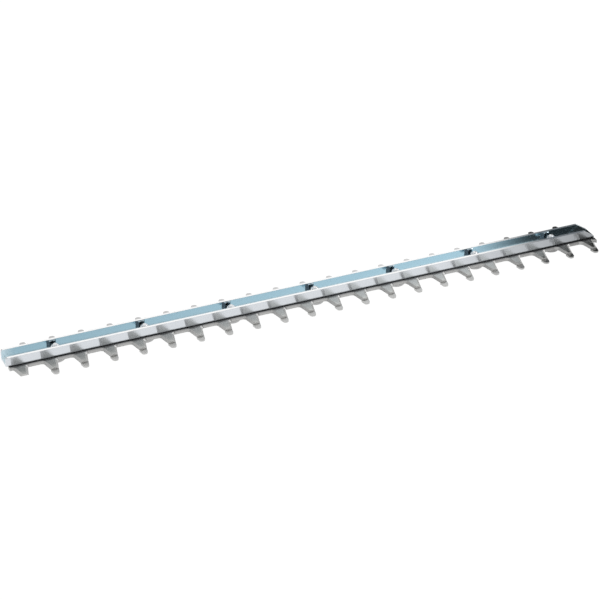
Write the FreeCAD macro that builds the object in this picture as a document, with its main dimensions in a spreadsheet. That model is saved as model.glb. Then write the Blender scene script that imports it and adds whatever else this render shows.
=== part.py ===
import FreeCAD, Part
import math
import os

import Sketcher

# Hedge trimmer blade: a toothed cutting blade that slides on a fixed guard comb, under a U-shaped
# guide rail.
# Millimetres. +X runs along the bar to its free end, +Z up. The origin lies on the surface that
# the keeper discs stand on, under the middle of the bar's length and width.

DRIVING_SIZES = [
    ("tooth_pitch", 29.0, "distance from tooth to tooth along one side"),
    ("near_teeth", 22, "teeth on the -Y side of the cutting blade"),
    ("far_teeth", 21, "teeth on the +Y side of blade and comb"),
    ("rear_margin", 9.9, "rear end of blade and comb behind the axis of the first tooth"),
    ("front_margin", 10.4, "front end of blade and comb past the axis of the last tooth"),
    ("blade_thickness", 1.8, "thickness of the cutting blade and of the comb"),
    ("body_width", 23.6, "blade and comb across the roots of their teeth"),
    ("cutter_reach", 24.7, "centre line to the flat end of a cutting tooth"),
    ("comb_reach", 31.2, "centre line to the blunt end of a comb tooth"),
    ("root_width", 14.0, "tooth width at the root line"),
    ("point_width", 7.6, "tooth width at the end of a cutting tooth"),
    ("tip_width", 5.0, "comb tooth's width at its blunt end, before rounding"),
    ("tip_round", 2.4, "corner radius of a comb tooth's blunt end"),
    ("root_round", 2.5, "radius between root line and tooth flank, at the cutting edge"),
    ("bevel_run", 2.3, "width of the ground bevel, seen from above"),
    ("ear_rise", 1.9, "height of the front corner past the root line"),
    ("ear_round", 1.8, "radius between that corner and the root line"),
    ("ear_land", 0.15, "width of that corner at its point"),
    ("running_gap", 0.1, "sliding gap under and over the cutting blade"),
    ("half_stroke", 14.5, "travel of the cutting blade either way from rest"),
    ("stop_gap", 0.3, "room left at a slot's end when the blade is at its limit"),
    ("bolt_count", 7, "guide bolts along the bar"),
    ("bolt_rear_inset", 47.8, "first bolt from the comb's rear end"),
    ("bolt_front_inset", 47.5, "last bolt from the comb's front end"),
    ("bolt_diameter", 5.0, "guide bolt shank"),
    ("bolt_proud", 2.1, "free end of a bolt above its nut"),
    ("bolt_end_round", 1.2, "radius round the bolt's free end"),
    ("head_diameter", 9.6, "countersunk bolt head"),
    ("head_land", 0.3, "straight rim of the bolt head"),
    ("head_sink", 0.1, "bolt head above the disc's underside"),
    ("socket_flats", 3.0, "hex socket in the bolt head, across flats"),
    ("socket_depth", 1.8, "depth of that socket"),
    ("hole_gap", 0.15, "radial room round a bolt in rail, sleeve, comb and disc"),
    ("seat_gap", 0.05, "room between head and countersink, and between bolt and nut"),
    ("disc_diameter", 18.0, "keeper disc"),
    ("disc_thickness", 3.0, "keeper disc"),
    ("disc_edge", 0.5, "chamfer round the keeper disc"),
    ("sleeve_diameter", 9.0, "slide sleeve that guides the blade's slots"),
    ("slide_gap", 0.05, "room between sleeve and slot on each side"),
    ("nut_flats", 8.0, "hex nut across flats"),
    ("nut_height", 4.7, "hex nut"),
    ("rail_overhang", 2.7, "rail's rear end behind blade and comb"),
    ("rail_setback", 0.6, "front end of blade and comb past the rail"),
    ("rail_width", 17.6, "channel, outside"),
    ("rail_height", 10.5, "channel, outside"),
    ("rail_gauge", 2.3, "sheet thickness of the channel"),
    ("rail_bend", 2.6, "outside bend radius of the channel"),
    ("rake_run", 12.8, "how far the channel's walls lean back at the front"),
    ("corner_round", 2.2, "radius on the top corners of the channel's walls"),
    ("drive_hole", 8.0, "hole in the cutting blade for the drive pin"),
    ("drive_inset", 16.3, "drive hole from the blade's rear end"),
    ("drive_gap", 1.0, "room round the drive pin's path in the comb"),
]

doc = FreeCAD.newDocument("hedge_trimmer_blade")
sheet = doc.addObject("Spreadsheet::Sheet", "Sizes")
for row, (alias, number, meaning) in enumerate(DRIVING_SIZES, start=1):
    sheet.set(f"A{row}", meaning)
    sheet.set(f"B{row}", str(number))
    sheet.setAlias(f"B{row}", alias)
doc.recompute()


# Places and lengths worked out from the driving sizes, as expressions

BLADE_LENGTH = ("(Sizes.rear_margin + (Sizes.near_teeth - 1) * Sizes.tooth_pitch"
                " + Sizes.front_margin)")
TOTAL_LENGTH = f"(Sizes.rail_overhang + {BLADE_LENGTH})"
RAIL_LENGTH = f"({TOTAL_LENGTH} - Sizes.rail_setback)"
RAIL_REAR = f"(-{TOTAL_LENGTH} / 2)"
RAIL_FRONT = f"({RAIL_REAR} + {RAIL_LENGTH})"
BLADE_REAR = f"({RAIL_REAR} + Sizes.rail_overhang)"
BLADE_FRONT = f"({BLADE_REAR} + {BLADE_LENGTH})"
FIRST_TOOTH = f"({BLADE_REAR} + Sizes.rear_margin)"
FIRST_FAR_TOOTH = f"({FIRST_TOOTH} + Sizes.tooth_pitch / 2)"
FIRST_BOLT = f"({BLADE_REAR} + Sizes.bolt_rear_inset)"
BOLT_ROW = f"({BLADE_LENGTH} - Sizes.bolt_rear_inset - Sizes.bolt_front_inset)"
BOLT_SPACING = f"({BOLT_ROW} / (Sizes.bolt_count - 1))"
DRIVE_X = f"({BLADE_REAR} + Sizes.drive_inset)"

COMB_Z = "Sizes.disc_thickness"
SLEEVE_Z = f"({COMB_Z} + Sizes.blade_thickness)"
CUTTER_Z = f"({SLEEVE_Z} + Sizes.running_gap)"
RAIL_Z = f"({CUTTER_Z} + Sizes.blade_thickness + Sizes.running_gap)"
NUT_Z = f"({RAIL_Z} + Sizes.rail_gauge)"
BOLT_END_Z = f"({NUT_Z} + Sizes.nut_height + Sizes.bolt_proud)"
SLEEVE_LENGTH = f"({RAIL_Z} - {SLEEVE_Z})"

BOLT_RADIUS = "Sizes.bolt_diameter / 2"
HOLE_RADIUS = f"({BOLT_RADIUS} + Sizes.hole_gap)"
SLOT_WIDTH = "(Sizes.sleeve_diameter + 2 * Sizes.slide_gap)"
SLOT_LENGTH = f"({SLOT_WIDTH} + 2 * Sizes.half_stroke + 2 * Sizes.stop_gap)"
NOTCH_HALF = "(Sizes.drive_hole / 2 + Sizes.drive_gap)"
NOTCH_FRONT = f"({DRIVE_X} + Sizes.half_stroke + {NOTCH_HALF})"

ROOT_HALF = "Sizes.body_width / 2"
FLANK_SLOPE = (f"((Sizes.root_width - Sizes.point_width) / 2"
               f" / (Sizes.cutter_reach - {ROOT_HALF}))")
FLANK_STRETCH = f"sqrt(1 + {FLANK_SLOPE} ^ 2)"
ROOT_ROUND_REACH = f"(Sizes.root_round / ({FLANK_STRETCH} + {FLANK_SLOPE}))"
CELL_SPARE = 0.4
CELL_HALF = f"(Sizes.root_width / 2 + {ROOT_ROUND_REACH} + {CELL_SPARE})"
CUT_SPARE = 2.0


def size(expression):
    """Number that an expression has with the sheet's present values."""
    return float(sheet.evalExpression(expression))


# Sketch helpers

def origin_feature(body, role):
    return next(item for item in body.Origin.OriginFeatures if item.Role == role)


def new_body(label, z_expression="0"):
    body = doc.addObject("PartDesign::Body", label)
    body.Label = label
    body.AllowCompound = True
    body.setExpression("Placement.Base.z", z_expression)
    return body


def new_sketch(body, name, role, offset="0"):
    """Sketch on one of the body's own origin planes, moved along its normal by an expression."""
    sketch = body.newObject("Sketcher::SketchObject", name)
    sketch.AttachmentSupport = [(origin_feature(body, role), "")]
    sketch.MapMode = "FlatFace"
    sketch.setExpression("AttachmentOffset.Base.z", offset)
    return sketch


def tie(sketch, constraint, expression):
    index = sketch.addConstraint(constraint)
    sketch.setExpression(f"Constraints[{index}]", expression)


def place_point(sketch, geometry, vertex, x_expression, y_expression):
    """Ties a point of the sketch to its distances from the sketch's origin."""
    ways = (("DistanceX", x_expression, -2), ("DistanceY", y_expression, -1))
    for kind, expression, axis in ways:
        distance = size(expression)
        if expression == "0":
            sketch.addConstraint(Sketcher.Constraint("PointOnObject", geometry, vertex, axis))
        elif distance >= 0:
            tie(sketch, Sketcher.Constraint(kind, -1, 1, geometry, vertex, distance), expression)
        else:
            mirrored = Sketcher.Constraint(kind, geometry, vertex, -1, 1, -distance)
            tie(sketch, mirrored, f"-({expression})")


def corner_points(before, corner, after, radius):
    """Ends, middle and centre of an arc that rounds a corner between two straight runs."""
    back = (before - corner).normalize()
    ahead = (after - corner).normalize()
    half_angle = back.getAngle(ahead) / 2
    run = radius / math.tan(half_angle)
    middle_way = (back + ahead).normalize()
    centre = corner + middle_way * (radius / math.sin(half_angle))
    return corner + back * run, centre - middle_way * radius, corner + ahead * run


def draw_outline(sketch, corners):
    """Closed outline of straight runs. A corner is (x, y) or (x, y, radius), as expressions."""
    spots = [FreeCAD.Vector(size(corner[0]), size(corner[1]), 0) for corner in corners]
    count = len(corners)
    arcs = {}
    for index, corner in enumerate(corners):
        if len(corner) == 3:
            before = spots[index - 1]
            after = spots[(index + 1) % count]
            arcs[index] = corner_points(before, spots[index], after, size(corner[2]))
    lines = []
    for index in range(count):
        following = (index + 1) % count
        start = arcs[index][2] if index in arcs else spots[index]
        end = arcs[following][0] if following in arcs else spots[following]
        lines.append(sketch.addGeometry(Part.LineSegment(start, end), False))
    for index, corner in enumerate(corners):
        coming = lines[index - 1]
        going = lines[index]
        if index not in arcs:
            sketch.addConstraint(Sketcher.Constraint("Coincident", coming, 2, going, 1))
            place_point(sketch, going, 1, corner[0], corner[1])
            continue
        arc = sketch.addGeometry(Part.Arc(*arcs[index]), False)
        first, last = arc_ends(sketch, arc, arcs[index][0])
        sketch.addConstraint(Sketcher.Constraint("Tangent", coming, 2, arc, first))
        sketch.addConstraint(Sketcher.Constraint("Tangent", arc, last, going, 1))
        point = sketch.addGeometry(Part.Point(spots[index]), True)
        place_point(sketch, point, 1, corner[0], corner[1])
        sketch.addConstraint(Sketcher.Constraint("PointOnObject", point, 1, coming))
        sketch.addConstraint(Sketcher.Constraint("PointOnObject", point, 1, going))
        radius = Sketcher.Constraint("Radius", arc, size(corner[2]))
        tie(sketch, radius, corner[2])


def arc_ends(sketch, arc, start):
    """Vertex numbers of an arc's ends, the one at the given point first."""
    near = sketch.getPoint(arc, 1).distanceToPoint(start)
    far = sketch.getPoint(arc, 2).distanceToPoint(start)
    return (1, 2) if near < far else (2, 1)


def draw_circle(sketch, x_expression, y_expression, radius_expression):
    centre = FreeCAD.Vector(size(x_expression), size(y_expression), 0)
    round_hole = Part.Circle(centre, FreeCAD.Vector(0, 0, 1), size(radius_expression))
    circle = sketch.addGeometry(round_hole, False)
    place_point(sketch, circle, 3, x_expression, y_expression)
    tie(sketch, Sketcher.Constraint("Radius", circle, size(radius_expression)), radius_expression)


def draw_slot(sketch, x_expression, length_expression, width_expression):
    """Round-ended slot on the centre line, running along X."""
    half_run = f"({length_expression} - {width_expression}) / 2"
    rear = FreeCAD.Vector(size(f"{x_expression} - {half_run}"), 0, 0)
    front = FreeCAD.Vector(size(f"{x_expression} + {half_run}"), 0, 0)
    radius = size(f"{width_expression} / 2")
    side = FreeCAD.Vector(0, radius, 0)
    end = FreeCAD.Vector(radius, 0, 0)
    front_arc = sketch.addGeometry(Part.Arc(front - side, front + end, front + side), False)
    rear_arc = sketch.addGeometry(Part.Arc(rear + side, rear - end, rear - side), False)
    top = sketch.addGeometry(Part.LineSegment(front + side, rear + side), False)
    bottom = sketch.addGeometry(Part.LineSegment(rear - side, front - side), False)
    for first, second in ((front_arc, top), (top, rear_arc), (rear_arc, bottom), (bottom, front_arc)):
        sketch.addConstraint(Sketcher.Constraint("Tangent", first, 2, second, 1))
    place_point(sketch, rear_arc, 3, f"{x_expression} - {half_run}", "0")
    place_point(sketch, front_arc, 3, f"{x_expression} + {half_run}", "0")
    tie(sketch, Sketcher.Constraint("Radius", front_arc, radius), f"{width_expression} / 2")


# Feature helpers

def add_pad(body, name, sketch, length_expression):
    pad = body.newObject("PartDesign::Pad", name)
    pad.Profile = sketch
    pad.setExpression("Length", length_expression)
    return pad


def add_pocket(body, name, sketch, symmetric=False, reverse=False):
    """Pocket right through the body, which has to take some volume away."""
    doc.recompute()
    before = body.Shape.Volume
    pocket = body.newObject("PartDesign::Pocket", name)
    pocket.Profile = sketch
    pocket.Type = "ThroughAll"
    pocket.SideType = "Symmetric" if symmetric else "One side"
    pocket.Reversed = reverse
    doc.recompute()
    if body.Shape.Volume >= before:
        raise RuntimeError(f"{name} cuts nothing from {body.Label}")
    return pocket


def add_revolution(body, name, sketch):
    revolution = body.newObject("PartDesign::Revolution", name)
    revolution.Profile = sketch
    revolution.ReferenceAxis = (sketch, ["V_Axis"])
    revolution.Angle = 360.0
    return revolution


def repeat_along_x(body, name, features, spacing_expression, count_expression):
    pattern = body.newObject("PartDesign::LinearPattern", name)
    pattern.Originals = features
    pattern.Direction = (origin_feature(body, "X_Axis"), [""])
    pattern.Mode = "Spacing"
    pattern.setExpression("Offset", spacing_expression)
    pattern.setExpression("Occurrences", count_expression)
    body.Tip = pattern
    return pattern


# Cutting blade and guard comb

def tooth_outline(x_axis, side, inset):
    """One tooth and a little of the root line on each side of it, reaching back into the body.

    inset is "0" at the cutting edge and the bevel's run on the blade's other face.
    """
    flank_shift = f"({inset} * {FLANK_STRETCH})"
    root = f"({ROOT_HALF} - {inset})"
    at_root = f"(Sizes.root_width / 2 - {flank_shift} + {inset} * {FLANK_SLOPE})"
    at_end = f"(Sizes.point_width / 2 - {flank_shift})"
    inner = f"{side} * ({ROOT_HALF} - 2 * Sizes.bevel_run)"
    rounding = f"Sizes.root_round + {inset}"
    half = [
        (CELL_HALF, inner),
        (CELL_HALF, f"{side} * {root}"),
        (at_root, f"{side} * {root}", rounding),
        (at_end, f"{side} * Sizes.cutter_reach"),
    ]
    right = [(f"{x_axis} + {corner[0]}",) + corner[1:] for corner in half]
    left = [(f"{x_axis} - {corner[0]}",) + corner[1:] for corner in reversed(half)]
    return right + left


def add_tooth_row(body, name, x_axis, side, count, edge_z, back_z):
    """Row of ground teeth along one side: each a loft from cutting edge to bevelled face."""
    edge = new_sketch(body, f"{name}_cutting_edge", "XY_Plane", edge_z)
    draw_outline(edge, tooth_outline(x_axis, side, "0"))
    back = new_sketch(body, f"{name}_bevelled_face", "XY_Plane", back_z)
    draw_outline(back, tooth_outline(x_axis, side, "Sizes.bevel_run"))
    tooth = body.newObject("PartDesign::AdditiveLoft", f"{name}_tooth")
    tooth.Profile = edge
    tooth.Sections = [back]
    tooth.Ruled = True
    return repeat_along_x(body, f"{name}_teeth", [tooth], "Sizes.tooth_pitch", count)


def add_blunt_row(body, name, x_axis, side, count):
    """Unground, rounded ends that carry the comb's teeth on past the cutting ones."""
    sketch = new_sketch(body, f"{name}_blunt_outline", "XY_Plane")
    half = [
        ("Sizes.point_width / 2", f"{side} * Sizes.cutter_reach"),
        ("Sizes.tip_width / 2", f"{side} * Sizes.comb_reach", "Sizes.tip_round"),
    ]
    right = [(f"{x_axis} + {corner[0]}",) + corner[1:] for corner in half]
    left = [(f"{x_axis} - {corner[0]}",) + corner[1:] for corner in reversed(half)]
    draw_outline(sketch, right + left)
    blunt = add_pad(body, f"{name}_blunt_end", sketch, "Sizes.blade_thickness")
    return repeat_along_x(body, f"{name}_blunt_ends", [blunt], "Sizes.tooth_pitch", count)


def add_blade_body(body, edge_at_top):
    """Flat strip with a ground bevel along both root lines."""
    wide = ROOT_HALF
    narrow = f"({ROOT_HALF} - Sizes.bevel_run)"
    below, above = (narrow, wide) if edge_at_top else (wide, narrow)
    section = new_sketch(body, f"{body.Label}_section", "YZ_Plane", BLADE_REAR)
    draw_outline(section, [
        (f"-{below}", "0"),
        (below, "0"),
        (above, "Sizes.blade_thickness"),
        (f"-{above}", "Sizes.blade_thickness"),
    ])
    add_pad(body, f"{body.Label}_strip", section, BLADE_LENGTH)


def add_front_ear(body):
    """Unground pointed corner at the front end of the near side."""
    root = f"-{ROOT_HALF}"
    point = f"-({ROOT_HALF} + Sizes.ear_rise)"
    inner = f"-({ROOT_HALF} - 2 * Sizes.bevel_run)"
    start = f"{BLADE_FRONT} - 2 * Sizes.ear_round"
    foot = f"{BLADE_FRONT} - Sizes.ear_land"
    sketch = new_sketch(body, f"{body.Label}_ear_outline", "XY_Plane")
    draw_outline(sketch, [
        (start, inner),
        (start, root),
        (foot, root, "Sizes.ear_round"),
        (foot, point),
        (BLADE_FRONT, point),
        (BLADE_FRONT, inner),
    ])
    add_pad(body, f"{body.Label}_ear", sketch, "Sizes.blade_thickness")


def add_guide_slots(body):
    """Slots that run on the sleeves, one at each bolt."""
    sketch = new_sketch(body, "guide_slot_outline", "XY_Plane")
    draw_slot(sketch, FIRST_BOLT, SLOT_LENGTH, SLOT_WIDTH)
    slot = add_pocket(body, "guide_slot", sketch, reverse=True)
    repeat_along_x(body, "guide_slots", [slot], BOLT_SPACING, "Sizes.bolt_count")


def add_bolt_holes(body):
    sketch = new_sketch(body, f"{body.Label}_hole_outline", "XY_Plane")
    draw_circle(sketch, FIRST_BOLT, "0", HOLE_RADIUS)
    hole = add_pocket(body, f"{body.Label}_hole", sketch, reverse=True)
    repeat_along_x(body, f"{body.Label}_holes", [hole], BOLT_SPACING, "Sizes.bolt_count")


def make_cutting_blade():
    """Short teeth, ground from above, with slots for the sleeves and a hole for the drive pin."""
    body = new_body("cutting_blade", CUTTER_Z)
    add_blade_body(body, edge_at_top=False)
    levels = ("0", "Sizes.blade_thickness")
    add_tooth_row(body, "cutter_near", FIRST_TOOTH, "-1", "Sizes.near_teeth", *levels)
    add_tooth_row(body, "cutter_far", FIRST_FAR_TOOTH, "1", "Sizes.far_teeth", *levels)
    add_front_ear(body)
    add_guide_slots(body)
    drive_sketch = new_sketch(body, "drive_hole_outline", "XY_Plane")
    draw_circle(drive_sketch, DRIVE_X, "0", "Sizes.drive_hole / 2")
    add_pocket(body, "drive_hole", drive_sketch, reverse=True)
    return body


def make_guard_comb():
    """Long teeth, ground from below, with blunt ends and none at the rear near corner.

    The drive pin comes up through a notch that is open at the comb's rear end.
    """
    body = new_body("guard_comb", COMB_Z)
    add_blade_body(body, edge_at_top=True)
    levels = ("Sizes.blade_thickness", "0")
    near_start = f"({FIRST_TOOTH} + Sizes.tooth_pitch)"
    near_count = "Sizes.near_teeth - 1"
    add_tooth_row(body, "comb_near", near_start, "-1", near_count, *levels)
    add_blunt_row(body, "comb_near", near_start, "-1", near_count)
    add_tooth_row(body, "comb_far", FIRST_FAR_TOOTH, "1", "Sizes.far_teeth", *levels)
    add_blunt_row(body, "comb_far", FIRST_FAR_TOOTH, "1", "Sizes.far_teeth")
    add_front_ear(body)
    add_bolt_holes(body)
    past_rear = f"{BLADE_REAR} - {CUT_SPARE}"
    notch_sketch = new_sketch(body, "drive_notch_outline", "XY_Plane")
    draw_outline(notch_sketch, [
        (past_rear, f"-{NOTCH_HALF}"),
        (NOTCH_FRONT, f"-{NOTCH_HALF}", "Sizes.drive_hole / 2"),
        (NOTCH_FRONT, NOTCH_HALF, "Sizes.drive_hole / 2"),
        (past_rear, NOTCH_HALF),
    ])
    add_pocket(body, "drive_notch", notch_sketch, reverse=True)
    return body


# Guide rail

def top_corner_edges(shape):
    """Names of the edges across the walls at their top rear and top front corners."""
    names = []
    top = shape.BoundBox.ZMax
    for index, edge in enumerate(shape.Edges, start=1):
        box = edge.BoundBox
        across = box.YLength > 0.5 * size("Sizes.rail_gauge") and box.XLength < 0.01
        if across and box.ZLength < 0.01 and abs(box.ZMax - top) < 0.01:
            names.append(f"Edge{index}")
    return names


def make_guide_rail():
    body = new_body("guide_rail", RAIL_Z)
    outside = "Sizes.rail_width / 2"
    inside = "(Sizes.rail_width / 2 - Sizes.rail_gauge)"
    inner_bend = "Sizes.rail_bend - Sizes.rail_gauge"
    section = new_sketch(body, "rail_section", "YZ_Plane", RAIL_REAR)
    draw_outline(section, [
        (f"-{outside}", "Sizes.rail_height"),
        (f"-{outside}", "0", "Sizes.rail_bend"),
        (outside, "0", "Sizes.rail_bend"),
        (outside, "Sizes.rail_height"),
        (inside, "Sizes.rail_height"),
        (inside, "Sizes.rail_gauge", inner_bend),
        (f"-{inside}", "Sizes.rail_gauge", inner_bend),
        (f"-{inside}", "Sizes.rail_height"),
    ])
    add_pad(body, "rail_channel", section, RAIL_LENGTH)

    rake = new_sketch(body, "rail_rake_outline", "XZ_Plane")
    lean = "Sizes.rake_run / (Sizes.rail_height - Sizes.rail_gauge)"
    past_front = f"{RAIL_FRONT} + {CUT_SPARE}"
    past_top = f"Sizes.rail_height + {CUT_SPARE}"
    draw_outline(rake, [
        (RAIL_FRONT, "Sizes.rail_gauge"),
        (past_front, "Sizes.rail_gauge"),
        (past_front, past_top),
        (f"{RAIL_FRONT} - Sizes.rake_run - {CUT_SPARE} * {lean}", past_top),
    ])
    raked = add_pocket(body, "rail_rake", rake, symmetric=True)
    corners = body.newObject("PartDesign::Fillet", "rail_corners")
    corners.Base = (raked, top_corner_edges(raked.Shape))
    corners.setExpression("Radius", "Sizes.corner_round")
    body.Tip = corners
    add_bolt_holes(body)
    return body


# Fasteners

def hexagon(x_axis, flats):
    """Corners of a hexagon on the centre line, two of them along X."""
    corner = f"{flats} / sqrt(3)"
    half_flat = f"{flats} / 2"
    return [
        (f"{x_axis} + {corner}", "0"),
        (f"{x_axis} + {corner} / 2", half_flat),
        (f"{x_axis} - {corner} / 2", half_flat),
        (f"{x_axis} - {corner}", "0"),
        (f"{x_axis} - {corner} / 2", f"-{half_flat}"),
        (f"{x_axis} + {corner} / 2", f"-{half_flat}"),
    ]


def make_guide_bolts():
    """Countersunk bolts, turned on their own axis at the first station and repeated."""
    body = new_body("guide_bolts", "Sizes.head_sink")
    body.setExpression("Placement.Base.x", FIRST_BOLT)
    head = "Sizes.head_diameter / 2"
    end = f"({BOLT_END_Z} - Sizes.head_sink)"
    profile = new_sketch(body, "bolt_profile", "XZ_Plane")
    draw_outline(profile, [
        ("0", "0"),
        (head, "0"),
        (head, "Sizes.head_land"),
        (BOLT_RADIUS, f"Sizes.head_land + {head} - {BOLT_RADIUS}"),
        (BOLT_RADIUS, end, "Sizes.bolt_end_round"),
        ("0", end),
    ])
    turned = add_revolution(body, "bolt", profile)
    doc.recompute()
    socket_sketch = new_sketch(body, "bolt_socket_outline", "XY_Plane")
    draw_outline(socket_sketch, hexagon("0", "Sizes.socket_flats"))
    before = body.Shape.Volume
    socket = body.newObject("PartDesign::Pocket", "bolt_socket")
    socket.Profile = socket_sketch
    socket.Reversed = True
    socket.setExpression("Length", "Sizes.socket_depth")
    doc.recompute()
    if body.Shape.Volume >= before:
        raise RuntimeError("the bolt's socket cuts nothing")
    repeat_along_x(body, "bolt_row", [turned, socket], BOLT_SPACING, "Sizes.bolt_count")
    return body


def make_hex_nuts():
    body = new_body("hex_nuts", NUT_Z)
    body.setExpression("Placement.Base.x", FIRST_BOLT)
    outline = new_sketch(body, "nut_outline", "XY_Plane")
    draw_outline(outline, hexagon("0", "Sizes.nut_flats"))
    draw_circle(outline, "0", "0", f"{BOLT_RADIUS} + Sizes.seat_gap")
    block = add_pad(body, "nut", outline, "Sizes.nut_height")
    doc.recompute()
    corner = "(Sizes.nut_flats / sqrt(3) + 0.2)"
    slope = "(1 / sqrt(3))"
    chamfer_sketch = new_sketch(body, "nut_chamfer_profile", "XZ_Plane")
    draw_outline(chamfer_sketch, [
        ("Sizes.nut_flats / 2", "Sizes.nut_height"),
        (corner, f"Sizes.nut_height - ({corner} - Sizes.nut_flats / 2) * {slope}"),
        (corner, "Sizes.nut_height"),
    ])
    chamfer = body.newObject("PartDesign::Groove", "nut_chamfer")
    chamfer.Profile = chamfer_sketch
    chamfer.ReferenceAxis = (chamfer_sketch, ["V_Axis"])
    chamfer.Angle = 360.0
    repeat_along_x(body, "nut_row", [block, chamfer], BOLT_SPACING, "Sizes.bolt_count")
    return body


def station_x(number):
    return f"({FIRST_BOLT} + {number} * {BOLT_SPACING})"


def make_keeper_disc(number):
    """Countersunk disc under the comb, which the bolt clamps to it."""
    body = new_body(f"keeper_disc_{number + 1}")
    body.setExpression("Placement.Base.x", station_x(number))
    rim = "Sizes.disc_diameter / 2"
    sink = "(Sizes.head_diameter / 2 + Sizes.seat_gap)"
    sink_top = "(Sizes.head_sink + Sizes.head_land + Sizes.seat_gap)"
    profile = new_sketch(body, f"disc_profile_{number + 1}", "XZ_Plane")
    draw_outline(profile, [
        (sink, "0"),
        (f"{rim} - Sizes.disc_edge", "0"),
        (rim, "Sizes.disc_edge"),
        (rim, "Sizes.disc_thickness - Sizes.disc_edge"),
        (f"{rim} - Sizes.disc_edge", "Sizes.disc_thickness"),
        (HOLE_RADIUS, "Sizes.disc_thickness"),
        (HOLE_RADIUS, f"{sink_top} + {sink} - {HOLE_RADIUS}"),
        (sink, sink_top),
    ])
    add_revolution(body, f"disc_{number + 1}", profile)
    return body


def make_slide_sleeve(number):
    """Tube round the bolt between comb and rail, which the blade's slot runs on."""
    body = new_body(f"slide_sleeve_{number + 1}", SLEEVE_Z)
    body.setExpression("Placement.Base.x", station_x(number))
    outline = new_sketch(body, f"sleeve_outline_{number + 1}", "XY_Plane")
    draw_circle(outline, "0", "0", "Sizes.sleeve_diameter / 2")
    draw_circle(outline, "0", "0", HOLE_RADIUS)
    add_pad(body, f"sleeve_{number + 1}", outline, SLEEVE_LENGTH)
    return body


def check_document():
    """Stops on any object that failed to compute."""
    doc.recompute()
    for item in doc.Objects:
        if "Invalid" in item.State or "Error" in item.State:
            raise RuntimeError(f"{item.Label} failed: {item.State}")


def write_parts(bodies):
    os.makedirs("parts", exist_ok=True)
    for body in bodies:
        if body.Shape.isNull() or not body.Shape.isValid():
            raise RuntimeError(f"{body.Label} has no valid shape")
    for body in bodies:
        body.Shape.exportStep(f"parts/{body.Label}.step")
        print(body.Label, len(body.Shape.Solids), "solids", round(body.Shape.Volume, 1), "mm3")


def main():
    stations = range(int(size("Sizes.bolt_count")))
    bodies = [make_guide_rail(), make_cutting_blade(), make_guard_comb()]
    bodies += [make_guide_bolts(), make_hex_nuts()]
    bodies += [make_keeper_disc(number) for number in stations]
    bodies += [make_slide_sleeve(number) for number in stations]
    check_document()
    write_parts(bodies)


main()
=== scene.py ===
import math

import bpy
from bpy.props import FloatProperty, FloatVectorProperty, IntProperty, PointerProperty
from mathutils import Euler, Matrix, Vector


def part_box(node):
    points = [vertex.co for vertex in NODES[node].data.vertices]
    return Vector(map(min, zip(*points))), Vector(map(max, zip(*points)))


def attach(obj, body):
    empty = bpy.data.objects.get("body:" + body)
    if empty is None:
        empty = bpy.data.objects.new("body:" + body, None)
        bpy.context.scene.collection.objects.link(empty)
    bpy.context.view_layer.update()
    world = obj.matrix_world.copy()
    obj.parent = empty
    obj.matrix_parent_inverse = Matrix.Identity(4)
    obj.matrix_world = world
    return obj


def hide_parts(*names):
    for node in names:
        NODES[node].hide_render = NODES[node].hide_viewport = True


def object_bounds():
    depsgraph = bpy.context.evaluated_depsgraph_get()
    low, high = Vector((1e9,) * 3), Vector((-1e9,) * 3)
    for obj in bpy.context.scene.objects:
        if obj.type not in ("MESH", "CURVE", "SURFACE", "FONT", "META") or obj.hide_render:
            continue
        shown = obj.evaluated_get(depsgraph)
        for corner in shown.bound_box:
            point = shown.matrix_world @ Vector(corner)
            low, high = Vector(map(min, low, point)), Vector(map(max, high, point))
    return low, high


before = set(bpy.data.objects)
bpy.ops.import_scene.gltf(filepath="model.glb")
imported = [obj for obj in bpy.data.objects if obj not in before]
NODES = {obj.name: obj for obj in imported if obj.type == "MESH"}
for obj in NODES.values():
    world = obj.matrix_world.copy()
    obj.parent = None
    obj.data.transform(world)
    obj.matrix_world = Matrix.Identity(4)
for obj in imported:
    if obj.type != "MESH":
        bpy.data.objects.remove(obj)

bl_info = {
    "name": "Hedge Trimmer Blade Looks",
    "version": (1, 0, 0),
    "blender": (4, 5, 0),
    "location": "3D View > Sidebar > Trimmer",
    "description": "Finishes, bolt threads, stage and camera for a hedge trimmer blade",
    "category": "Object",
}

CAD_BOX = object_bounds()
STATIONS = range(1, 8)
DISC_NAMES = [f"keeper_disc_{number}" for number in STATIONS]
SLEEVE_NAMES = [f"slide_sleeve_{number}" for number in STATIONS]
MILLIMETRE = 0.001
TOP_BAND = 0.1 * MILLIMETRE


# What a user would change

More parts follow.
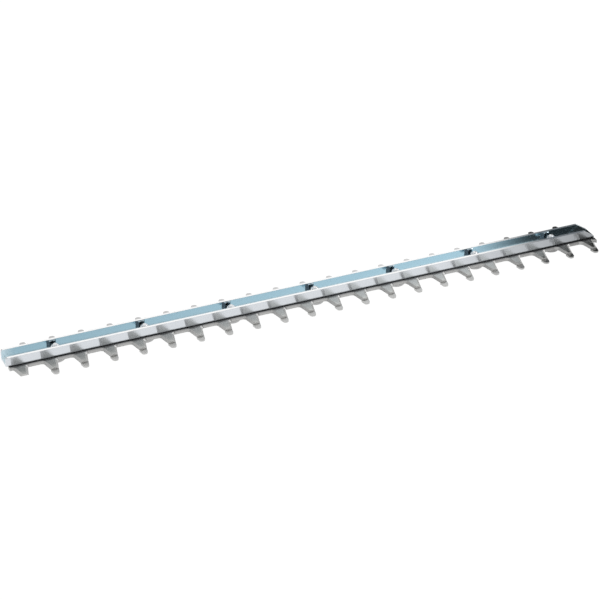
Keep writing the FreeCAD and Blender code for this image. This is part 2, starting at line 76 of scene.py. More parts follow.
class RailLook(bpy.types.PropertyGroup):
    """Finish of the plated guide rail, with a painted reflection in the channel and a painted
    highlight and shade on the rim.
    """
    outer_colour: FloatVectorProperty(
        name="Outer colour", description="Plating on the outside of the channel",
        subtype="COLOR", size=3, min=0.0, max=1.0, default=(0.665, 0.695, 0.73))
    # Painted reflection: the plating is the same inside and out, and the channel's brighter, bluer
    # tint stands in for mirrored bluish light
    channel_reflection_colour: FloatVectorProperty(
        name="Channel colour", description="Bluish plating inside the channel",
        subtype="COLOR", size=3, min=0.0, max=1.0, default=(0.745, 0.86, 0.91))
    # Painted highlight: the near-white of the bare, matt top edges stands in for the bright line of
    # light along them
    rim_highlight_colour: FloatVectorProperty(
        name="Rim colour", description="Bare, matt top edges of the channel's walls",
        subtype="COLOR", size=3, min=0.0, max=1.0, default=(0.97, 0.97, 0.97))
    # Painted shade: the same edges darken towards the free end
    rim_shade_colour: FloatVectorProperty(
        name="Dull rim colour", description="The same edges at the free end",
        subtype="COLOR", size=3, min=0.0, max=1.0, default=(0.16, 0.18, 0.20))
    # Where the rim's painted highlight gives way to its painted shade
    rim_shade_start: FloatProperty(
        name="Rim fade start", description="Place along the bar where the edges begin to dull",
        unit="LENGTH", default=0.17)
    rim_shade_end: FloatProperty(
        name="Rim fade end", description="Place along the bar where the edges are dull",
        unit="LENGTH", default=0.27)
    outer_roughness: FloatProperty(
        name="Outer roughness", description="Softness of the plating outside the channel",
        subtype="FACTOR", min=0.0, max=1.0, default=0.17)
    channel_roughness: FloatProperty(
        name="Channel roughness", description="Softness of the plating inside the channel",
        subtype="FACTOR", min=0.0, max=1.0, default=0.06)
    rubbed_length: FloatProperty(
        name="Rubbed length", description="Rear of the channel that the machine's seat has rubbed",
        unit="LENGTH", min=0.001, default=0.016)
    rubbed_shine: FloatProperty(
        name="Rubbed shine", description="Share of the light that is still mirrored there",
        subtype="FACTOR", min=0.0, max=1.0, default=0.35)
    edge_radius: FloatProperty(
        name="Edge radius", description="Deburred edges of the sheet, as shading",
        unit="LENGTH", min=0.0, default=0.0005)
    draw_marks: FloatProperty(
        name="Draw marks", description="Depth of the fine lines along the rolled sheet",
        unit="LENGTH", min=0.0, default=0.000004)


class BladeLook(bpy.types.PropertyGroup):
    """Finish of the cutting blade and the guard comb, with painted shade along the rail's foot and on
    the far side.
    """
    rolled_colour: FloatVectorProperty(
        name="Rolled colour", description="Flat faces, as rolled and hardened",
        subtype="COLOR", size=3, min=0.0, max=1.0, default=(0.79, 0.80, 0.77))
    comb_colour: FloatVectorProperty(
        name="Comb colour", description="The same faces of the guard comb, duller",
        subtype="COLOR", size=3, min=0.0, max=1.0, default=(0.68, 0.68, 0.67))
    # Painted shade: the same rolled steel, darker on the far side of the bar
    far_shade_colour: FloatVectorProperty(
        name="Far colour", description="Flat faces on the far side",
        subtype="COLOR", size=3, min=0.0, max=1.0, default=(0.69, 0.69, 0.69))
    # Painted shade: flats and bevels darken towards the foot of the rail, where shade gathers in the
    # crevice under it
    foot_shade_colour: FloatVectorProperty(
        name="Oiled colour", description="Dark film of oil along the foot of the rail",
        subtype="COLOR", size=3, min=0.0, max=1.0, default=(0.36, 0.36, 0.36))
    # The distances below set where that painted shade thins and where it ends
    foot_shade_start: FloatProperty(
        name="Film start", description="Distance from the rail's side where that film thins",
        unit="LENGTH", min=0.0, default=0.0005)
    foot_shade_on_flats: FloatProperty(
        name="Film on flats", description="Distance where it ends on the flat faces",
        unit="LENGTH", min=0.0, default=0.0045)
    foot_shade_on_bevels: FloatProperty(
        name="Film on bevels", description="Distance where it ends on the bevels",
        unit="LENGTH", min=0.0, default=0.0023)
    ground_colour: FloatVectorProperty(
        name="Ground colour", description="Bevels along the cutting edges",
        subtype="COLOR", size=3, min=0.0, max=1.0, default=(0.57, 0.57, 0.56))
    sheared_colour: FloatVectorProperty(
        name="Sheared colour", description="Upright edges left by the stamping die",
        subtype="COLOR", size=3, min=0.0, max=1.0, default=(0.60, 0.60, 0.59))
    rolled_roughness: FloatProperty(
        name="Rolled roughness", description="Softness of the cutting blade's flat faces",
        subtype="FACTOR", min=0.0, max=1.0, default=0.15)
    comb_roughness: FloatProperty(
        name="Comb roughness", description="Softness of the comb's flat faces",
        subtype="FACTOR", min=0.0, max=1.0, default=0.15)
    ground_roughness: FloatProperty(
        name="Ground roughness", description="Softness of the bevels and the sheared edges",
        subtype="FACTOR", min=0.0, max=1.0, default=0.34)
    ground_shine: FloatProperty(
        name="Ground shine", description="Share of the light that they mirror, not scatter",
        subtype="FACTOR", min=0.0, max=1.0, default=0.65)
    grinding_marks: FloatProperty(
        name="Grinding marks", description="Depth of the fine lines on bevels and sheared edges",
        unit="LENGTH", min=0.0, default=0.00001)


class FastenerLook(bpy.types.PropertyGroup):
    """Bolts, nuts, discs and sleeves, with painted shade on the nuts' sides."""
    bolt_colour: FloatVectorProperty(
        name="Bolt colour", description="Bright zinc of the guide bolts",
        subtype="COLOR", size=3, min=0.0, max=1.0, default=(0.86, 0.88, 0.90))
    bolt_roughness: FloatProperty(
        name="Bolt roughness", description="Softness of the bolts' zinc",
        subtype="FACTOR", min=0.0, max=1.0, default=0.2)
    bolt_shine: FloatProperty(
        name="Bolt shine", description="Share of the light that the bolts mirror, not scatter",
        subtype="FACTOR", min=0.0, max=1.0, default=0.5)
    nut_face_colour: FloatVectorProperty(
        name="Nut face colour", description="Bright, faced ends of the hex nuts",
        subtype="COLOR", size=3, min=0.0, max=1.0, default=(0.80, 0.84, 0.88))
    # Painted half-shade on the nuts' near sides
    nut_near_shade_colour: FloatVectorProperty(
        name="Nut near colour", description="Sides of the hex nuts that look to the near side",
        subtype="COLOR", size=3, min=0.0, max=1.0, default=(0.52, 0.60, 0.64))
    # Painted shade: the nuts' other sides, much darker than their zinc
    nut_side_shade_colour: FloatVectorProperty(
        name="Nut colour", description="All other sides of the hex nuts, which are dark",
        subtype="COLOR", size=3, min=0.0, max=1.0, default=(0.12, 0.14, 0.16))
    nut_roughness: FloatProperty(
        name="Nut roughness", description="Softness of the nuts' zinc",
        subtype="FACTOR", min=0.0, max=1.0, default=0.22)
    disc_colour: FloatVectorProperty(
        name="Disc colour", description="Turned steel of discs and sleeves",
        subtype="COLOR", size=3, min=0.0, max=1.0, default=(0.42, 0.42, 0.42))
    disc_roughness: FloatProperty(
        name="Disc roughness", description="Softness of that steel",
        subtype="FACTOR", min=0.0, max=1.0, default=0.3)
    thread_pitch: FloatProperty(
        name="Thread pitch", description="Rise of the bolt thread in one turn",
        unit="LENGTH", min=0.0001, default=0.0008)
    thread_depth: FloatProperty(
        name="Thread depth", description="Crest to root of the bolt thread",
        unit="LENGTH", min=0.0001, default=0.00043)
    thread_diameter: FloatProperty(
        name="Thread diameter", description="Bolt across the crests of its thread",
        unit="LENGTH", min=0.001, default=0.005)
    thread_turns: IntProperty(
        name="Thread turns", description="Turns of thread modelled at each free end",
        min=1, default=4)


class StageLook(bpy.types.PropertyGroup):
    """Floor, surroundings and camera."""
    floor_colour: FloatVectorProperty(
        name="Floor colour", description="Plain pale floor",
        subtype="COLOR", size=3, min=0.0, max=1.0, default=(0.88, 0.88, 0.88))
    floor_glow: FloatProperty(
        name="Floor glow", description="How far the floor is held at white where it is seen",
        subtype="FACTOR", min=0.0, max=1.0, default=0.93)
    fade_start: FloatProperty(
        name="Fade start",
        description="Place along the bar where the mirrored floor begins to darken",
        unit="LENGTH", default=0.15)
    fade_end: FloatProperty(
        name="Fade end", description="Place past the bar where the mirrored floor is darkest",
        unit="LENGTH", default=0.33)
    fade_level: FloatProperty(
        name="Fade level", description="Brightness of the mirrored floor at that place",
        min=0.0, default=0.45)
    surround: FloatProperty(
        name="Surround", description="Brightness of the soft light all round",
        min=0.0, default=1.0)
    lens: FloatProperty(
        name="Lens", description="Camera's focal length in millimetres",
        min=1.0, default=121.6)
    heading: FloatProperty(
        name="Heading", description="Camera's turn from +Y towards +X",
        subtype="ANGLE", default=math.radians(24.67))
    tilt: FloatProperty(
        name="Tilt", description="How far the camera looks down",
        subtype="ANGLE", default=math.radians(31.30))
    roll: FloatProperty(
        name="Roll", description="How far the camera leans to its left",
        subtype="ANGLE", default=math.radians(0.945))
    camera_place: FloatVectorProperty(
        name="Camera place", description="Where the camera stands",
        subtype="TRANSLATION", unit="LENGTH", size=3, default=(-0.7241, -1.5451, 1.0382))


# Node helpers

def is_socket(value):
    return isinstance(value, bpy.types.NodeSocket)


def add_node(tree, kind, **values):
    """New node with its input sockets set by name."""
    node = tree.nodes.new(kind)
    for name, value in values.items():
        node.inputs[name.replace("_", " ")].default_value = value
    return node


def feed(tree, socket, value):
    """Sets an input from another node's output, or directly from a number."""
    if is_socket(value):
        tree.links.new(value, socket)
    else:
        socket.default_value = value


def feed_colour(tree, socket, colour):
    """The same for a colour, which is made opaque if it is set directly."""
    feed(tree, socket, colour if is_socket(colour) else (*colour, 1.0))


def calculate(tree, operation, first, second=0.0):
    node = tree.nodes.new("ShaderNodeMath")
    node.operation = operation
    feed(tree, node.inputs[0], first)
    feed(tree, node.inputs[1], second)
    return node.outputs["Value"]


def calculate_vector(tree, operation, first, second):
    node = tree.nodes.new("ShaderNodeVectorMath")
    node.operation = operation
    feed(tree, node.inputs[0], first)
    feed(tree, node.inputs[1], second)
    return node.outputs["Vector"]


def rest_of(tree, share):
    """What a share leaves of the whole."""
    return calculate(tree, "SUBTRACT", 1.0, share)


def blend_colours(tree, factor, first, second):
    node = tree.nodes.new("ShaderNodeMix")
    node.data_type = "RGBA"
    feed(tree, node.inputs["Factor"], factor)
    feed_colour(tree, node.inputs["A"], first)
    feed_colour(tree, node.inputs["B"], second)
    return node.outputs["Result"]


def blend_numbers(tree, factor, first, second):
    node = tree.nodes.new("ShaderNodeMix")
    node.data_type = "FLOAT"
    feed(tree, node.inputs["Factor"], factor)
    feed(tree, node.inputs["A"], first)
    feed(tree, node.inputs["B"], second)
    return node.outputs["Result"]


def rise(tree, value, start, end):
    """Soft step from 0 to 1 between two values."""
    step = add_node(tree, "ShaderNodeMapRange", From_Min=start, From_Max=end)
    step.interpolation_type = "SMOOTHSTEP"
    tree.links.new(value, step.inputs["Value"])
    return step.outputs["Result"]


def split(tree, coordinate):
    """X, Y and Z of a place, a normal or a direction of view."""
    source = tree.nodes.new("ShaderNodeTexCoord")
    parts = tree.nodes.new("ShaderNodeSeparateXYZ")
    tree.links.new(source.outputs[coordinate], parts.inputs["Vector"])
    return parts.outputs


def streaks(tree, frequency, detail):
    """Noise on object coordinates, stretched by a frequency for each axis."""
    place = tree.nodes.new("ShaderNodeTexCoord")
    stretch = add_node(tree, "ShaderNodeMapping", Scale=frequency)
    noise = add_node(tree, "ShaderNodeTexNoise", Scale=1.0, Detail=detail)
    tree.links.new(place.outputs["Object"], stretch.inputs["Vector"])
    tree.links.new(stretch.outputs["Vector"], noise.inputs["Vector"])
    return noise.outputs["Fac"]


# Finishes

SHEET_GAUGE = 2.3 * MILLIMETRE
INNER_FACE = 0.9 * SHEET_GAUGE

# Patterns: how often they change in a metre along X, Y and Z, and their detail
DRAW_LINES = ((8.0, 1500.0, 1500.0), 3.0)
STEEL_CLOUDS = ((160.0, 160.0, 160.0), 4.0)
WHEEL_LINES = ((2600.0, 120.0, 120.0), 2.0)
TOOL_RINGS = ((200.0, 200.0, 3500.0), 2.0)
CLOUD_SHADE = 0.88
LEAST_ROUGH = 0.8
MOST_ROUGH = 1.2

# Limits on a face's normal, by which the kinds of faces are told apart
FLAT_FACE = 0.95
SHEARED_EDGE = 0.3
NUT_END = 0.7
NUT_NEAR_SIDE = -0.3

# Rolling lines run along the bar and draw its shine out across them
BAR_AXIS = (1.0, 0.0, 0.0)
SLIGHTLY_UP = (0.0, 0.0, 0.001)
ROLLED_STRETCH = 1.0


def new_material(name):
    material = bpy.data.materials.new(name)
    material.use_nodes = True
    material.node_tree.nodes.clear()
    return material


def uneven(tree, roughness, pattern):
    """Roughness that wavers with a pattern."""
    waver = blend_numbers(tree, pattern, LEAST_ROUGH, MOST_ROUGH)
    return calculate(tree, "MULTIPLY", roughness, waver)


def across_bar(tree):
    """Direction in a surface at right angles to the bar's length, or up on its end faces."""
    source = tree.nodes.new("ShaderNodeTexCoord")
    across = calculate_vector(tree, "CROSS_PRODUCT", source.outputs["Normal"], BAR_AXIS)
    return calculate_vector(tree, "ADD", across, SLIGHTLY_UP)


def finish_metal(material, colour, roughness, height=None, depth=0.0, edge_radius=0.0, rolled=False,
                 bare=1.0):
    """Metal surface, with an optional bump on it and rounded edges under that, both in metres.

    rolled draws the shine out across the bar, and bare is 1 where the metal shows and 0 where it
    is matt.
    """
    tree = material.node_tree
    metal = tree.nodes.new("ShaderNodeBsdfPrincipled")
    feed(tree, metal.inputs["Metallic"], bare)
    if rolled:
        tree.links.new(across_bar(tree), metal.inputs["Tangent"])
        metal.inputs["Anisotropic"].default_value = ROLLED_STRETCH
    feed_colour(tree, metal.inputs["Base Color"], colour)
    feed(tree, metal.inputs["Roughness"], roughness)
    if height is not None:
        bump = add_node(tree, "ShaderNodeBump", Strength=1.0, Distance=depth)
        tree.links.new(height, bump.inputs["Height"])
        if edge_radius > 0:
            rounded = add_node(tree, "ShaderNodeBevel", Radius=edge_radius)
            tree.links.new(rounded.outputs["Normal"], bump.inputs["Normal"])
        tree.links.new(bump.outputs["Normal"], metal.inputs["Normal"])
    out = tree.nodes.new("ShaderNodeOutputMaterial")
    tree.links.new(metal.outputs["BSDF"], out.inputs["Surface"])


def give_finish(node_names, material):
    for name in node_names:
        for slot in NODES[name].material_slots:
            slot.material = material


def rail_plating(look):
    """Bright plating with a painted bluish reflection inside the channel, a matt rim with a painted
    highlight that turns to painted shade at the free end, and fine lines along the sheet.
    """
    material = new_material("rail_plating_bright")
    tree = material.node_tree
    low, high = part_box("guide_rail")
    place = split(tree, "Object")
    sideways = calculate(tree, "ABSOLUTE", place["Y"])
    between = calculate(tree, "LESS_THAN", sideways, high.y - INNER_FACE)
    above = calculate(tree, "GREATER_THAN", place["Z"], low.z + INNER_FACE)
    inside = calculate(tree, "MULTIPLY", between, above)
    # Inside the channel the plating takes a painted bluish reflection
    plating = blend_colours(tree, inside, look.outer_colour, look.channel_reflection_colour)
    # The rim: a painted highlight on the matt top edges, fading to painted shade towards the free end
    rim = calculate(tree, "GREATER_THAN", place["Z"], high.z - TOP_BAND)
    rim_shaded = rise(tree, place["X"], look.rim_shade_start, look.rim_shade_end)
    edges = blend_colours(tree, rim_shaded, look.rim_highlight_colour, look.rim_shade_colour)
    colour = blend_colours(tree, rim, plating, edges)
    lines = streaks(tree, *DRAW_LINES)
    softness = blend_numbers(tree, inside, look.outer_roughness, look.channel_roughness)
    roughness = uneven(tree, softness, lines)
    unrubbed = rise(tree, place["X"], low.x, low.x + look.rubbed_length)
    rubbed = calculate(tree, "MULTIPLY", inside, rest_of(tree, unrubbed))
    bright = blend_numbers(tree, rubbed, 1.0, look.rubbed_shine)
    shine = calculate(tree, "MULTIPLY", bright, rest_of(tree, rim))
    finish_metal(material, colour, roughness, lines, look.draw_marks, look.edge_radius,
                 rolled=True, bare=shine)
    return material


def blade_steel(look, name, flat_colour, flat_roughness):
    """Rolled flats, ground bevels and sheared edges, told apart by how far a face leans, with painted
    shade along the rail's foot and on the far flats.
    """
    material = new_material(name)
    tree = material.node_tree
    upright = calculate(tree, "ABSOLUTE", split(tree, "Normal")["Z"])
    flat = calculate(tree, "GREATER_THAN", upright, FLAT_FACE)
    edge = calculate(tree, "LESS_THAN", upright, SHEARED_EDGE)
    place = split(tree, "Object")
    sideways = calculate(tree, "ABSOLUTE", place["Y"])
    distance = calculate(tree, "SUBTRACT", sideways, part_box("guide_rail")[1].y)
    # Painted shade along the rail's foot, thinning with distance from its side
    flat_past_shade = rise(tree, distance, look.foot_shade_start, look.foot_shade_on_flats)
    bevel_past_shade = rise(tree, distance, look.foot_shade_start, look.foot_shade_on_bevels)
    # Far-side flats take the darker far colour, a painted shade
    far = calculate(tree, "GREATER_THAN", place["Y"], 0.0)
    clouded = tuple(CLOUD_SHADE * part for part in flat_colour)
    near_flats = blend_colours(tree, streaks(tree, *STEEL_CLOUDS), flat_colour, clouded)
    flats = blend_colours(tree, far, near_flats, look.far_shade_colour)
    rolled = blend_colours(tree, flat_past_shade, look.foot_shade_colour, flats)
    ground = blend_colours(tree, bevel_past_shade, look.foot_shade_colour, look.ground_colour)
    leaning = blend_colours(tree, edge, ground, look.sheared_colour)
    colour = blend_colours(tree, flat, leaning, rolled)
    roughness = blend_numbers(tree, flat, look.ground_roughness, flat_roughness)
    marks = calculate(tree, "MULTIPLY", streaks(tree, *WHEEL_LINES), rest_of(tree, flat))
    shine = blend_numbers(tree, flat, look.ground_shine, 1.0)
    finish_metal(material, colour, roughness, marks, look.grinding_marks, rolled=True, bare=shine)
    return material


def turned_metal(name, colour, roughness, shine=1.0):
    """Turned or plated small parts, with faint rings of tool marks."""
    material = new_material(name)
    tree = material.node_tree
    rings = streaks(tree, *TOOL_RINGS)
    finish_metal(material, colour, uneven(tree, roughness, rings), bare=shine)
    return material


def nut_zinc_shaded(look):
    """Zinc ends, painted half-shade on the near sides and painted shade on the other sides, told
    apart by where a face looks.
    """
    material = new_material("nut_zinc_painted_shade")
    tree = material.node_tree
    normal = split(tree, "Normal")
    upright = calculate(tree, "ABSOLUTE", normal["Z"])
    faced = calculate(tree, "GREATER_THAN", upright, NUT_END)
    # Near sides take a painted half-shade, all other sides a painted shade
    near = calculate(tree, "LESS_THAN", normal["Y"], NUT_NEAR_SIDE)
    sides = blend_colours(tree, near, look.nut_side_shade_colour, look.nut_near_shade_colour)
    colour = blend_colours(tree, faced, sides, look.nut_face_colour)
    finish_metal(material, colour, look.nut_roughness)
    return material


# Threaded bolts

CORE_SIDES = 32
SECTION_CORNERS = 4
STEPS_PER_TURN = 24
TIP_CHAMFER = 0.5 * MILLIMETRE
CHAMFER_STEPS = 3
CUT_INSIDE_NUT = 1.0 * MILLIMETRE
CORE_OVERLAP = 0.5 * MILLIMETRE
RIDGE_WELD = 0.001 * MILLIMETRE
BOLT_WELD = 0.0005 * MILLIMETRE
SMOOTH_ANGLE = math.radians(35)
# How far below the bolt's tip the middle of the ridge ends, in thread depths
RIDGE_ROOM = 1.1


def deselect_all():
    bpy.ops.object.select_all(action="DESELECT")


def make_active(piece):
    deselect_all()
    piece.select_set(True)
    bpy.context.view_layer.objects.active = piece


def station_places():
    """Middle of each keeper disc along the bar."""
    middles = []
    for name in DISC_NAMES:
        low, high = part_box(name)
        middles.append((low.x + high.x) / 2)
    return middles


def core_radius(look):
    return look.thread_diameter / 2 - look.thread_depth


def thread_core(look, bottom, top):
    """Round core of a threaded end, with a chamfer at its tip."""
    deselect_all()
    bpy.ops.mesh.primitive_cylinder_add(
        vertices=CORE_SIDES, radius=core_radius(look), depth=top - bottom,
        location=(0, 0, (bottom + top) / 2))
    core = bpy.context.object
    bpy.ops.object.transform_apply(location=True, rotation=True, scale=True)
    bpy.ops.object.mode_set(mode="EDIT")
    bpy.ops.mesh.select_all(action="DESELECT")
    bpy.ops.object.mode_set(mode="OBJECT")
    for edge in core.data.edges:
        ends = [core.data.vertices[index].co.z for index in edge.vertices]
        edge.select = min(ends) > top - TOP_BAND
    bpy.ops.object.mode_set(mode="EDIT")
    bpy.ops.mesh.bevel(offset=TIP_CHAMFER, segments=CHAMFER_STEPS, affect="EDGES")
    bpy.ops.object.mode_set(mode="OBJECT")
    return core


def thread_ridge(look, top):
    """Ridge that winds round the core: a diamond section carried up a screw."""
    start = top - look.thread_turns * look.thread_pitch - RIDGE_ROOM * look.thread_depth
    deselect_all()
    bpy.ops.mesh.primitive_circle_add(
        vertices=SECTION_CORNERS, radius=look.thread_depth, fill_type="NOTHING",
        location=(core_radius(look), 0, start), rotation=(math.radians(90), 0, 0))
    ridge = bpy.context.object
    bpy.ops.object.transform_apply(location=True, rotation=True, scale=True)
    bpy.ops.object.modifier_add(type="SCREW")
    winding = ridge.modifiers[-1]
    winding.axis = "Z"
    winding.angle = math.radians(360)
    winding.screw_offset = look.thread_pitch
    winding.iterations = look.thread_turns
    winding.steps = STEPS_PER_TURN
    winding.render_steps = STEPS_PER_TURN
    bpy.ops.object.modifier_apply(modifier=winding.name)
    bpy.ops.object.mode_set(mode="EDIT")
    bpy.ops.mesh.select_all(action="SELECT")
    bpy.ops.mesh.remove_doubles(threshold=RIDGE_WELD)
    bpy.ops.mesh.select_all(action="SELECT")
    bpy.ops.mesh.fill_holes(sides=SECTION_CORNERS)
    bpy.ops.mesh.select_all(action="SELECT")
    bpy.ops.mesh.normals_make_consistent(inside=False)
    bpy.ops.object.mode_set(mode="OBJECT")
    return ridge


def cut_bolts(height):
    """Copy of the guide bolts, cut off level at a height inside their nuts."""
    mesh = NODES["guide_bolts"].data.copy()
    bolts = bpy.data.objects.new("threaded_bolts", mesh)
    bpy.context.scene.collection.objects.link(bolts)
    make_active(bolts)
    bpy.ops.object.mode_set(mode="EDIT")
    bpy.ops.mesh.select_all(action="SELECT")
    bpy.ops.mesh.remove_doubles(threshold=BOLT_WELD)
    bpy.ops.mesh.select_all(action="SELECT")
    bpy.ops.mesh.bisect(
        plane_co=(0, 0, height), plane_no=(0, 0, 1), use_fill=True, clear_outer=True)
    bpy.ops.object.mode_set(mode="OBJECT")
    return bolts


def make_threaded_bolts(look):
    """Bolts with a real thread on their free ends, in the place of the plain ones."""
    cut_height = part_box("hex_nuts")[1].z - CUT_INSIDE_NUT
    bolt_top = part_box("guide_bolts")[1].z
    bolts = cut_bolts(cut_height)
    core = thread_core(look, cut_height - CORE_OVERLAP, bolt_top)
    ridge = thread_ridge(look, bolt_top)
    make_active(core)
    ridge.select_set(True)
    bpy.ops.object.join()
    ends = []
    for middle in station_places():
        end = core.copy()
        end.data = core.data.copy()
        bpy.context.scene.collection.objects.link(end)
        end.location = (middle, 0, 0)
        ends.append(end)
    bpy.data.objects.remove(core)
    make_active(bolts)
    for end in ends:
        end.select_set(True)
    bpy.ops.object.join()
    bpy.ops.object.shade_smooth_by_angle(angle=SMOOTH_ANGLE)
    return bolts


# Stage

WHITE = (1.0, 1.0, 1.0)
FLOOR_SIZE = 12.0
# Brightness at which the floor is held where it is seen
FLOOR_LEVEL = 1.06

# What metal mirrors of the surround: headings in degrees from +Y towards +X, with their brightness
SURROUND_BY_HEADING = (
    (-180, 0.36), (-150, 0.75), (-60, 0.85), (10, 0.74), (17, 0.74), (30, 0.96), (60, 1.0),
    (70, 0.95), (151, 0.97), (156.5, 0.66), (160, 0.44), (163, 0.36), (180, 0.36),
)

# Upward part of a direction where the dark band past the rear end and the pale top fade in
REAR_BAND_EDGE = (0.70, 0.73)
REAR_BAND_COLOUR = (0.15, 0.15, 0.15)
OVERHEAD_EDGE = (0.78, 0.92)
OVERHEAD_COLOUR = (0.95, 0.95, 0.95)

# Part of a direction along the bar where the dark strip past the free end fades in, and out again
STRIP_EDGE_FAR_SIDE = (0.431, 0.466)
STRIP_EDGE_NEAR_SIDE = (0.453, 0.471)
STRIP_END = (0.58, 0.66)
STRIP_COLOUR = (0.03, 0.03, 0.03)

LAMP_PLACE = (1.2, -0.25, 0.75)
LAMP_TARGET = (0.0, 0.0, 0.0)
LAMP_WIDTH = 0.25
LAMP_POWER = 1.2

SENSOR_WIDTH = 36.0
CLIP_END = 50.0


def heading_level(tree, direction):
    """Brightness of the surround by heading."""
    heading = calculate(tree, "ARCTAN2", direction["X"], direction["Y"])
    turn = calculate(tree, "ADD", calculate(tree, "DIVIDE", heading, 2 * math.pi), 0.5)
    ramp = tree.nodes.new("ShaderNodeValToRGB")
    tree.links.new(turn, ramp.inputs["Fac"])
    stops = ramp.color_ramp.elements
    while len(stops) < len(SURROUND_BY_HEADING):
        stops.new(0.5)
    for stop, (degrees, level) in zip(stops, SURROUND_BY_HEADING):
        stop.position = degrees / 360 + 0.5
        stop.color = (level, level, level, 1.0)
    return ramp.outputs["Color"]


def free_end_strip(tree, direction):
    """Dark strip past the bar's free end, which starts sooner on the far side than on the near."""
    far_side = calculate(tree, "GREATER_THAN", direction["Y"], 0.0)
    far_strip = rise(tree, direction["X"], *STRIP_EDGE_FAR_SIDE)
    near_strip = rise(tree, direction["X"], *STRIP_EDGE_NEAR_SIDE)
    strip = blend_numbers(tree, far_side, near_strip, far_strip)
    past = rise(tree, direction["X"], *STRIP_END)
    return calculate(tree, "MULTIPLY", strip, rest_of(tree, past))


def mirrored_surround(tree):
    """Pale all round and overhead, dark high up past the rear end and past the free end."""
    direction = split(tree, "Generated")
    rearward = calculate(tree, "LESS_THAN", direction["X"], 0.0)
    high = rise(tree, direction["Z"], *REAR_BAND_EDGE)
    rear_band = calculate(tree, "MULTIPLY", rearward, high)
    sides = blend_colours(tree, rear_band, heading_level(tree, direction), REAR_BAND_COLOUR)
    overhead = rise(tree, direction["Z"], *OVERHEAD_EDGE)
    pale = blend_colours(tree, overhead, sides, OVERHEAD_COLOUR)
    return blend_colours(tree, free_end_strip(tree, direction), pale, STRIP_COLOUR)


def mirrored_rays(tree, rays):
    return calculate(tree, "MAXIMUM", rays.outputs["Is Glossy Ray"],
                     rays.outputs["Is Transmission Ray"])


def set_surround(look):
    """White to the camera, even light on matt surfaces, and shaded where metal mirrors it."""
    world = bpy.data.worlds.new("white_surround")
    bpy.context.scene.world = world
    world.use_nodes = True
    tree = world.node_tree
    tree.nodes.clear()
    rays = tree.nodes.new("ShaderNodeLightPath")
    soft = (look.surround,) * 3
    mirrored = blend_colours(tree, mirrored_rays(tree, rays), soft, mirrored_surround(tree))
    colour = blend_colours(tree, rays.outputs["Is Camera Ray"], mirrored, WHITE)
    sky = add_node(tree, "ShaderNodeBackground", Strength=1.0)
    tree.links.new(colour, sky.inputs["Color"])
    out = tree.nodes.new("ShaderNodeOutputWorld")
    tree.links.new(sky.outputs["Background"], out.inputs["Surface"])


def fading_glow(tree, look):
    """Level of the mirrored floor, which falls off towards the bar's free end."""
    fade = add_node(tree, "ShaderNodeMapRange", From_Min=look.fade_start, From_Max=look.fade_end,
                    To_Min=FLOOR_LEVEL, To_Max=look.fade_level)
    tree.links.new(split(tree, "Object")["X"], fade.inputs["Value"])
    return fade.outputs["Result"]


def floor_finish(look):
    """Pale floor, held near white where it is seen or mirrored, that keeps its shadow."""
    material = new_material("pale_floor")
    tree = material.node_tree
    rays = tree.nodes.new("ShaderNodeLightPath")
    mirrored = mirrored_rays(tree, rays)
    shown = calculate(tree, "MAXIMUM", mirrored, rays.outputs["Is Camera Ray"])
    held = calculate(tree, "MULTIPLY", shown, look.floor_glow)
    level = blend_numbers(tree, mirrored, FLOOR_LEVEL, fading_glow(tree, look))
    paint = add_node(tree, "ShaderNodeBsdfDiffuse", Color=(*look.floor_colour, 1.0))
    glow = add_node(tree, "ShaderNodeEmission", Color=(*WHITE, 1.0))
    tree.links.new(level, glow.inputs["Strength"])
    mix = tree.nodes.new("ShaderNodeMixShader")
    tree.links.new(held, mix.inputs["Fac"])
    tree.links.new(paint.outputs["BSDF"], mix.inputs[1])
    tree.links.new(glow.outputs["Emission"], mix.inputs[2])
    out = tree.nodes.new("ShaderNodeOutputMaterial")
    tree.links.new(mix.outputs["Shader"], out.inputs["Surface"])
    return material


def lay_floor(look):
    deselect_all()
    bpy.ops.mesh.primitive_plane_add(size=FLOOR_SIZE, location=(0, 0, CAD_BOX[0].z))
    floor = bpy.context.object
    floor.name = "floor"
    floor.data.materials.append(floor_finish(look))


def hang_lamp():
    """Soft square lamp that faces the middle of the bar."""
    bpy.ops.object.light_add(type="AREA", location=LAMP_PLACE)
    lamp = bpy.context.object
    lamp.name = "key_lamp"
    aim = Vector(LAMP_TARGET) - Vector(LAMP_PLACE)
    lamp.rotation_euler = aim.to_track_quat("-Z", "Y").to_euler()
    lamp.data.shape = "SQUARE"
    lamp.data.size = LAMP_WIDTH
    lamp.data.energy = LAMP_POWER


def set_camera(look):
    turn = Euler((math.radians(90) - look.tilt, 0.0, -look.heading)).to_matrix()
    lean = Matrix.Rotation(look.roll, 3, "Z")
    bpy.ops.object.camera_add(
        location=look.camera_place, rotation=(turn @ lean).to_euler())
    camera = bpy.context.object
    camera.data.sensor_width = SENSOR_WIDTH
    camera.data.lens = look.lens
    camera.data.clip_end = CLIP_END
    bpy.context.scene.camera = camera


# Operators

class TRIMMER_OT_finish_rail(bpy.types.Operator):
    """Give the guide rail its bright plating, with painted reflection, highlight and shade"""
    bl_idname = "trimmer.finish_rail"
    bl_label = "Finish Rail"

    def execute(self, context):
        give_finish(["guide_rail"], rail_plating(context.scene.trimmer_rail))
        return {"FINISHED"}


class TRIMMER_OT_finish_blades(bpy.types.Operator):
    """Give cutting blade and comb their rolled, ground and sheared steel, with painted shade"""
    bl_idname = "trimmer.finish_blades"
    bl_label = "Finish Blades"

    def execute(self, context):
        look = context.scene.trimmer_blade
        flats = {
            "cutting_blade": (look.rolled_colour, look.rolled_roughness),
            "guard_comb": (look.comb_colour, look.comb_roughness),
        }
        for name, (colour, roughness) in flats.items():
            give_finish([name], blade_steel(look, f"{name}_steel", colour, roughness))
        return {"FINISHED"}


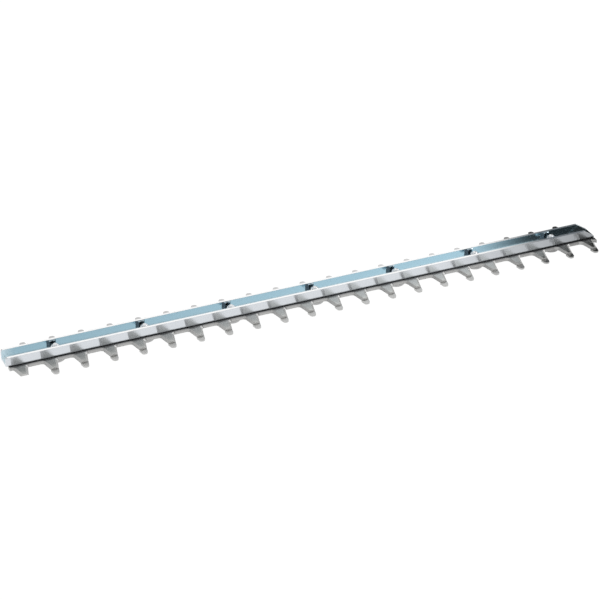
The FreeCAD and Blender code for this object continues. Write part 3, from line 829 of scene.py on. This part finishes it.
class TRIMMER_OT_finish_guides(bpy.types.Operator):
    """Give the keeper discs, slide sleeves and nuts their metal, with painted shade on the nuts'
    sides
    """
    bl_idname = "trimmer.finish_guides"
    bl_label = "Finish Discs, Sleeves and Nuts"

    def execute(self, context):
        look = context.scene.trimmer_fastener
        steel = turned_metal("turned_steel", look.disc_colour, look.disc_roughness)
        give_finish(DISC_NAMES + SLEEVE_NAMES, steel)
        give_finish(["hex_nuts"], nut_zinc_shaded(look))
        return {"FINISHED"}


class TRIMMER_OT_thread_bolts(bpy.types.Operator):
    """Model the threaded ends of the guide bolts"""
    bl_idname = "trimmer.thread_bolts"
    bl_label = "Thread Bolts"

    def execute(self, context):
        look = context.scene.trimmer_fastener
        bolts = make_threaded_bolts(look)
        bolts.data.materials.clear()
        zinc = turned_metal("bolt_zinc_plate", look.bolt_colour, look.bolt_roughness, look.bolt_shine)
        bolts.data.materials.append(zinc)
        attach(bolts, "rail")
        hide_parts("guide_bolts")
        return {"FINISHED"}


class TRIMMER_OT_set_stage(bpy.types.Operator):
    """Lay the floor, set the light and place the camera"""
    bl_idname = "trimmer.set_stage"
    bl_label = "Set Stage"

    def execute(self, context):
        look = context.scene.trimmer_stage
        set_surround(look)
        lay_floor(look)
        hang_lamp()
        set_camera(look)
        context.scene.view_settings.view_transform = "Standard"
        return {"FINISHED"}


class TRIMMER_PT_looks(bpy.types.Panel):
    """Steps that dress the hedge trimmer blade"""
    bl_idname = "TRIMMER_PT_looks"
    bl_label = "Hedge Trimmer Blade"
    bl_space_type = "VIEW_3D"
    bl_region_type = "UI"
    bl_category = "Trimmer"

    def draw(self, context):
        for step in STEPS:
            self.layout.operator(step.bl_idname)


LOOKS = {
    "trimmer_rail": RailLook,
    "trimmer_blade": BladeLook,
    "trimmer_fastener": FastenerLook,
    "trimmer_stage": StageLook,
}
STEPS = (
    TRIMMER_OT_finish_rail,
    TRIMMER_OT_finish_blades,
    TRIMMER_OT_finish_guides,
    TRIMMER_OT_thread_bolts,
    TRIMMER_OT_set_stage,
)


def register():
    for name, look in LOOKS.items():
        bpy.utils.register_class(look)
        setattr(bpy.types.Scene, name, PointerProperty(type=look))
    for step in STEPS:
        bpy.utils.register_class(step)
    bpy.utils.register_class(TRIMMER_PT_looks)


def unregister():
    bpy.utils.unregister_class(TRIMMER_PT_looks)
    for step in reversed(STEPS):
        bpy.utils.unregister_class(step)
    for name, look in reversed(LOOKS.items()):
        delattr(bpy.types.Scene, name)
        bpy.utils.unregister_class(look)


def main():
    register()
    bpy.ops.trimmer.finish_rail()
    bpy.ops.trimmer.finish_blades()
    bpy.ops.trimmer.finish_guides()
    bpy.ops.trimmer.thread_bolts()
    bpy.ops.trimmer.set_stage()


if __name__ == "__main__":
    main()
